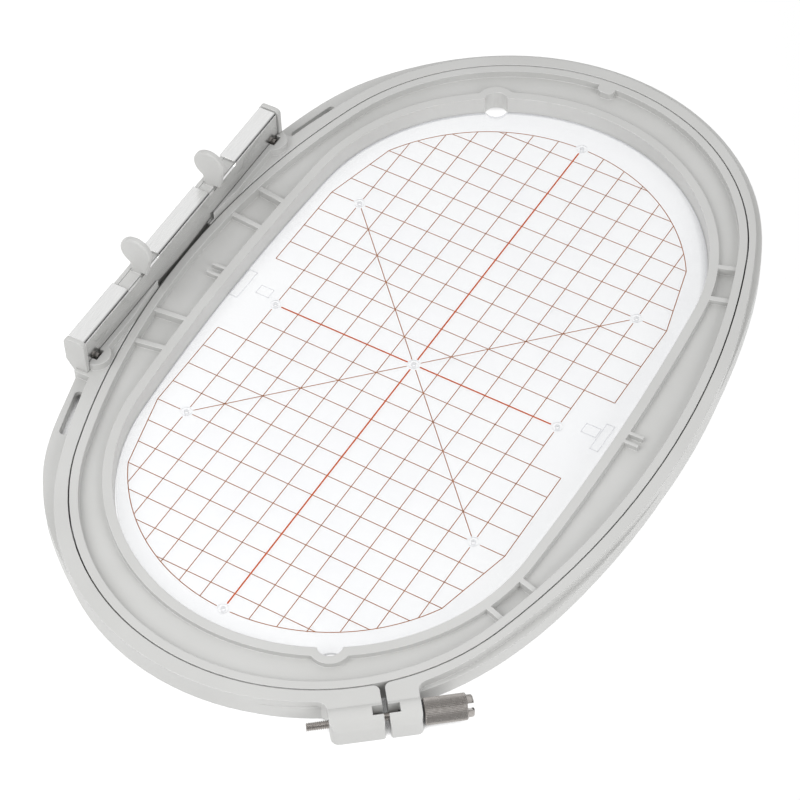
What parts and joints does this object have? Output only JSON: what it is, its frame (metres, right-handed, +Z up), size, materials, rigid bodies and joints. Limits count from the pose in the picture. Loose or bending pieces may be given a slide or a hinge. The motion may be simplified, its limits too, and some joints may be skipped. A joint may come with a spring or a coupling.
{
  "type": "embroidery hoop",
  "caption": "Machine embroidery hoop: split outer ring with clamp screw, lift-out inner ring, clear grid template and an arm bracket with sprung thumb-tab latches.",
  "frame": {"origin": "middle of the hoop's overall box, at its base, where it lies on a table", "axes": "+Z up out of the sewing field, +Y along the hoop's long side, the arm bracket on the -X side"},
  "size_m": [0.2162, 0.3302, 0.039],
  "materials": {
    "grey_plastic": "fine satin moulding",
    "clear_sheet": "clear sheet with a red printed grid",
    "brushed_steel": "brushed along its length",
    "nickel": "bright nickel plate",
    "dark_steel": "blackened"
  },
  "bodies": {
    "hoop": {"outer_ring": "grey_plastic", "bracket_housing": "grey_plastic", "bracket_channel": "brushed_steel", "channel_rivets": "nickel", "housing_screws": "nickel", "guide_rod": "nickel", "tension_nut": "nickel", "latch_spring_front": "nickel", "latch_spring_rear": "nickel"},
    "inner": {"inner_ring": "grey_plastic"},
    "template": {"grid_template": "clear_sheet"},
    "screw": {"tension_screw": "nickel", "thumb_knob": "nickel", "knob_washer": "dark_steel", "screw_clip": "dark_steel"},
    "front_latch": {"latch_front": "grey_plastic", "latch_plate_front": "brushed_steel"},
    "rear_latch": {"latch_rear": "grey_plastic", "latch_plate_rear": "brushed_steel"}
  },
  "joints": [
    {"name": "inner_ring_lift", "type": "slide", "parent": "hoop", "child": "inner", "axis": [0, 0, 1], "range_m": [0, 0.012]},
    {"name": "template_lift", "type": "slide", "parent": "inner", "child": "template", "axis": [0, 0, 1], "range_m": [0, 0.015]},
    {"name": "tension_screw_turn", "type": "hinge", "parent": "hoop", "child": "screw", "pos_m": [0.07013, -0.14435, 0.0053], "axis": [0.7923, 0.6101, 0], "continuous": true},
    {"name": "front_latch_press", "type": "slide", "parent": "hoop", "child": "front_latch", "axis": [0, 1, 0], "range_m": [0, 0.0035], "stiffness_N_per_m": 400, "springref_m": -0.003, "deforming": ["latch_spring_front"]},
    {"name": "rear_latch_press", "type": "slide", "parent": "hoop", "child": "rear_latch", "axis": [0, -1, 0], "range_m": [0, 0.0035], "stiffness_N_per_m": 400, "springref_m": -0.003, "deforming": ["latch_spring_rear"]}
  ]
}
